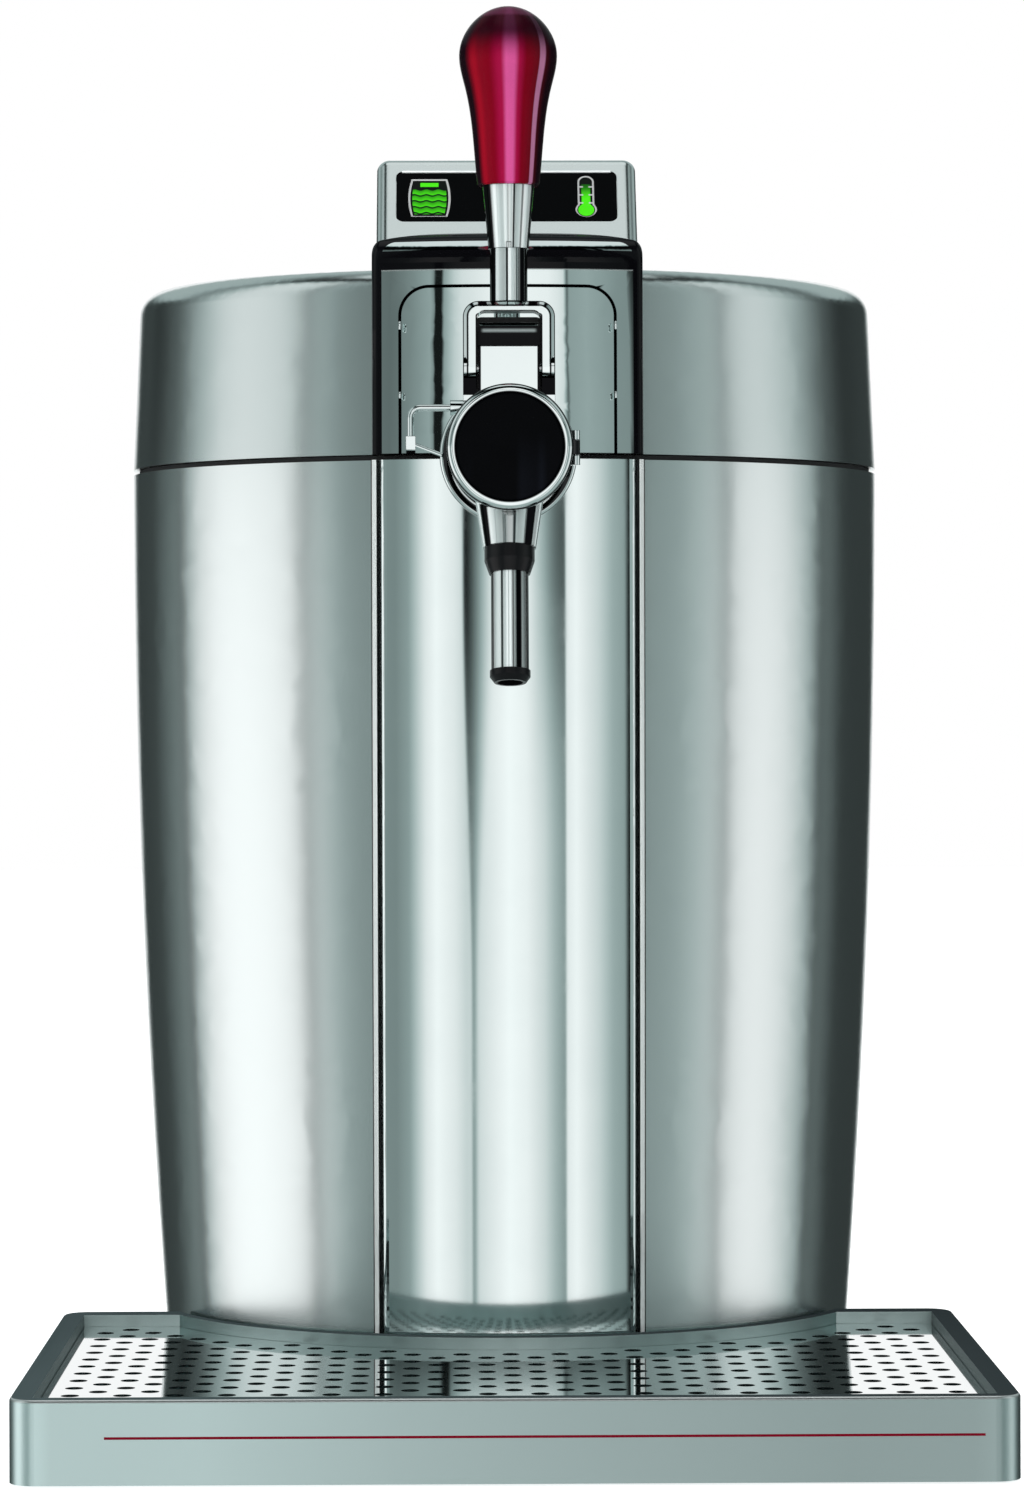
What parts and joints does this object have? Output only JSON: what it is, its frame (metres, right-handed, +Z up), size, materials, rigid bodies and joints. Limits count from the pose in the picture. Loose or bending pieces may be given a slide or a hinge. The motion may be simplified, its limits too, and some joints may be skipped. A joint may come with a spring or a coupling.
{
  "type": "mini keg beer dispenser",
  "caption": "Counter-top dispenser that chills a mini keg under a hinged lid, with a lever tap, display and sliding drip tray.",
  "frame": {"origin": "on the counter under the middle of the bounding box", "axes": "+Z up; -Y is the side with the tap, towards the person who pours; +X is that person's right"},
  "size_m": [0.3324, 0.467, 0.5005],
  "materials": {
    "satin_silver": "satin silver metallic lacquer on moulded plastic",
    "chrome": "polished",
    "chromed_plastic": "bright chromed plastic",
    "stainless": "polished stainless",
    "steel": "zinc plated",
    "black_plastic": "fine grain",
    "black_gloss": "high gloss",
    "red_lacquer": "metallic lacquer under clear coat",
    "green_symbol": "lit",
    "white_plastic": "smooth",
    "foam": "light rigid insulation foam",
    "rubber": "soft",
    "aluminium": "extruded",
    "circuit": "solder mask",
    "ceramic": "ceramic"
  },
  "bodies": {
    "casing": {"base_pan": "black_plastic", "feet": "rubber", "foot_screws": "steel", "power_board": "circuit", "body_shell": "satin_silver", "rear_vent_panel": "black_plastic", "rear_panel_screws": "steel", "mains_inlet": "black_plastic", "switch_bezel": "black_plastic", "lower_front_plate": "chromed_plastic", "band_trims": "chromed_plastic", "well_collar": "white_plastic", "cooling_well": "aluminium", "keg_rest_ring": "rubber", "lid_seal": "rubber", "insulation_foam": "foam", "cold_block": "aluminium", "peltier_module": "ceramic", "heat_sink": "aluminium", "fan_frame": "black_plastic", "fan_screws": "steel", "body_hinge_leaf": "stainless", "hinge_pin": "steel", "body_hinge_screws": "steel"},
    "fan": {"fan_rotor": "black_plastic"},
    "switch": {"power_switch": "black_gloss"},
    "lever": {"lever_fork": "chromed_plastic", "lever_stem": "chromed_plastic", "lever_ferrule": "chromed_plastic", "lever_knob": "red_lacquer"},
    "pinch": {"pinch_block": "black_plastic", "pinch_bar": "black_gloss"},
    "cover": {"tap_cover": "chromed_plastic", "cover_badge": "black_gloss"},
    "latch": {"cover_latch": "chromed_plastic"},
    "tray": {"drip_tray": "satin_silver", "tray_feet": "rubber"},
    "grid": {"drip_grid": "stainless"},
    "lid": {"lid_shell": "satin_silver", "lid_liner": "white_plastic", "lid_foam": "foam", "lid_hinge_leaf": "stainless", "lid_hinge_screws": "steel", "upper_front_panel": "chromed_plastic", "tap_panel": "chromed_plastic", "display_housing": "satin_silver", "display_board": "circuit", "display_window": "black_gloss", "volume_symbol": "green_symbol", "temperature_symbol": "green_symbol", "tap_flange": "chromed_plastic", "tap_screws": "steel", "tap_body": "chromed_plastic", "valve_housing": "black_plastic", "spout_cone": "chromed_plastic", "spout_collar": "black_plastic", "spout_tube": "stainless", "spout_tip": "black_plastic", "lever_pin": "steel", "cover_hinge_pin": "steel"}
  },
  "joints": [
    {"name": "lid_hinge", "type": "hinge", "parent": "casing", "child": "lid", "pos_m": [0, 0.2285, 0.345], "axis": [-1, 0, 0], "range_deg": [0, 75]},
    {"name": "lever_pivot", "type": "hinge", "parent": "lid", "child": "lever", "pos_m": [0, -0.1215, 0.3737], "axis": [1, 0, 0], "range_deg": [0, 50]},
    {"name": "pinch_slide", "type": "slide", "parent": "lid", "child": "pinch", "axis": [0, 0, 1], "range_m": [0, 0.003]},
    {"name": "tap_cover_hinge", "type": "hinge", "parent": "lid", "child": "cover", "pos_m": [0.0229, -0.1364, 0.345], "axis": [0, 0, 1], "range_deg": [0, 100]},
    {"name": "cover_latch_hinge", "type": "hinge", "parent": "lid", "child": "latch", "pos_m": [-0.02, -0.1315, 0.3593], "axis": [-1, 0, 0], "range_deg": [0, 60]},
    {"name": "tray_slide", "type": "slide", "parent": "casing", "child": "tray", "axis": [0, -1, 0], "range_m": [0, 0.24]},
    {"name": "grid_lift", "type": "slide", "parent": "tray", "child": "grid", "axis": [0, 0, 1], "range_m": [0, 0.05]},
    {"name": "fan_spin", "type": "hinge", "parent": "casing", "child": "fan", "pos_m": [0, 0.2, 0.18], "axis": [0, 1, 0], "continuous": true},
    {"name": "power_switch_rock", "type": "hinge", "parent": "casing", "child": "switch", "pos_m": [0.022, 0.2215, 0.07], "axis": [1, 0, 0], "range_deg": [0, 16]}
  ],
  "couplings": [
    {"joint": "pinch_slide", "follows": "lever_pivot", "m_per_rad": 0.0034}
  ]
}
